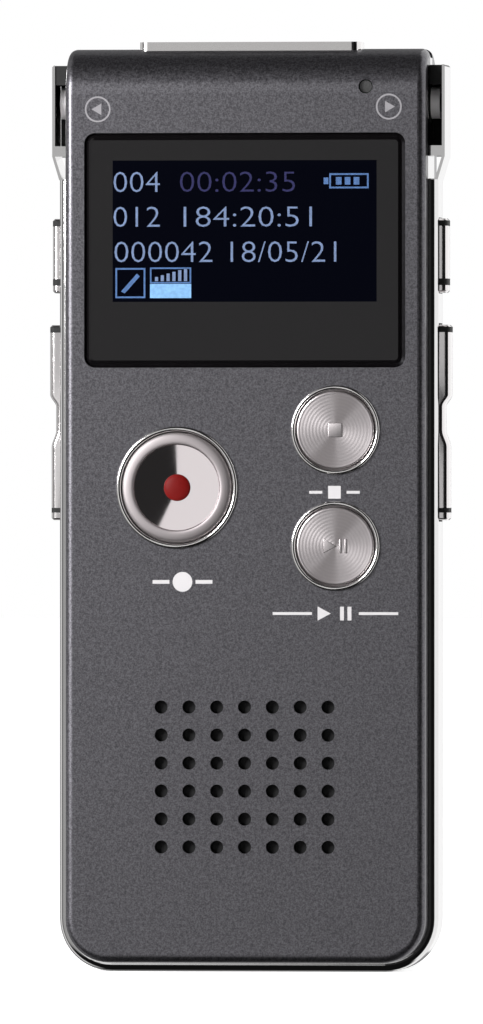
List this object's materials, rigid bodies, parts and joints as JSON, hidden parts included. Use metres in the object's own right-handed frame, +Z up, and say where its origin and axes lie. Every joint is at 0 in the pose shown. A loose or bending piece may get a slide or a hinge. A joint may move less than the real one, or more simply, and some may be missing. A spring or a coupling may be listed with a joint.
{
  "type": "handheld voice recorder",
  "caption": "Slim upright digital voice recorder: metal covers on a chrome frame, display window, record, stop and play buttons, speaker grille, side keys and stereo microphones.",
  "frame": {"origin": "middle of the footprint, on the surface the recorder stands on", "axes": "+Z up along the body to the microphones and sockets, -Y out of the face with the display, +X to the right of someone facing it"},
  "size_m": [0.0428, 0.0124, 0.0988],
  "materials": {
    "cover_paint": "fine metallic paint, satin",
    "chrome_frame": "bright chrome plating",
    "trim_chrome": "polished",
    "button_satin": "satin turned",
    "button_spun": "spun, concentric grooves",
    "dish_mirror": "mirror",
    "jewel_red": "gloss",
    "lens_black": "high gloss, printed border",
    "screen_dark": "dark, faintly lit",
    "light_guide": "clear",
    "black_plastic": "moulded, matte",
    "black_rubber": "matte",
    "flex_film": "film",
    "board_green": "solder mask",
    "steel": "plain",
    "mic_silver": "satin can",
    "mesh_cloth": "woven acoustic mesh",
    "battery_foil": "foil pouch",
    "wire": "insulation",
    "foam": "foam",
    "component_tan": "ceramic"
  },
  "bodies": {
    "case": {"front_cover": "cover_paint", "rear_cover": "cover_paint", "mid_frame": "chrome_frame", "jack_plate": "trim_chrome", "record_trim_ring": "trim_chrome", "stop_trim_ring": "trim_chrome", "play_trim_ring": "trim_chrome", "display_lens": "lens_black", "display_gasket": "foam", "display_panel": "screen_dark", "display_backlight": "light_guide", "display_flex": "flex_film", "indicator_light_pipe": "light_guide", "indicator_led": "light_guide", "speaker_mesh": "mesh_cloth", "speaker_gasket": "foam", "speaker_basket": "black_plastic", "speaker_cone": "black_plastic", "speaker_magnet": "steel", "speaker_leads": "wire", "main_board": "board_green", "processor_chip": "black_plastic", "memory_chip": "black_plastic", "clock_crystal": "steel", "small_components": "component_tan", "battery_cell": "battery_foil", "battery_board": "board_green", "battery_leads": "wire", "battery_pad": "foam", "usb_socket": "steel", "usb_tongue": "black_plastic", "earphone_jack": "black_plastic", "line_in_jack": "black_plastic", "left_mic_guard": "chrome_frame", "right_mic_guard": "chrome_frame", "left_mic_capsule": "mic_silver", "right_mic_capsule": "mic_silver", "left_mic_boot": "black_rubber", "right_mic_boot": "black_rubber", "mic_leads": "wire", "record_switch": "steel", "stop_switch": "steel", "play_switch": "steel", "side_key_switches": "steel", "rocker_switches": "steel", "reset_switch": "steel", "board_screws": "steel", "cover_screws": "steel"},
    "record": {"record_button": "button_satin", "record_button_dish": "dish_mirror", "record_jewel": "jewel_red", "record_plunger": "black_rubber"},
    "stop": {"stop_button": "button_spun", "stop_plunger": "black_rubber"},
    "play": {"play_button": "button_spun", "play_plunger": "black_rubber"},
    "left_key": {"left_key": "chrome_frame"},
    "right_key": {"right_key": "chrome_frame"},
    "left_rocker": {"left_rocker": "chrome_frame"},
    "right_rocker": {"right_rocker": "chrome_frame"}
  },
  "joints": [
    {"name": "record_press", "type": "slide", "parent": "case", "child": "record", "axis": [0, 1, 0], "range_m": [0, 0.0004], "stiffness_N_per_m": 800},
    {"name": "stop_press", "type": "slide", "parent": "case", "child": "stop", "axis": [0, 1, 0], "range_m": [0, 0.0004], "stiffness_N_per_m": 800},
    {"name": "play_press", "type": "slide", "parent": "case", "child": "play", "axis": [0, 1, 0], "range_m": [0, 0.0004], "stiffness_N_per_m": 800},
    {"name": "left_key_press", "type": "slide", "parent": "case", "child": "left_key", "axis": [1, 0, 0], "range_m": [0, 0.0003], "stiffness_N_per_m": 800},
    {"name": "right_key_press", "type": "slide", "parent": "case", "child": "right_key", "axis": [-1, 0, 0], "range_m": [0, 0.0003], "stiffness_N_per_m": 800},
    {"name": "left_rocker_tilt", "type": "hinge", "parent": "case", "child": "left_rocker", "pos_m": [-0.01915, 0.0002, 0.05833], "axis": [0, 1, 0], "range_deg": [-2, 2], "stiffness_Nm_per_rad": 0.05},
    {"name": "right_rocker_tilt", "type": "hinge", "parent": "case", "child": "right_rocker", "pos_m": [0.01915, 0.0002, 0.05833], "axis": [0, 1, 0], "range_deg": [-2, 2], "stiffness_Nm_per_rad": 0.05}
  ]
}
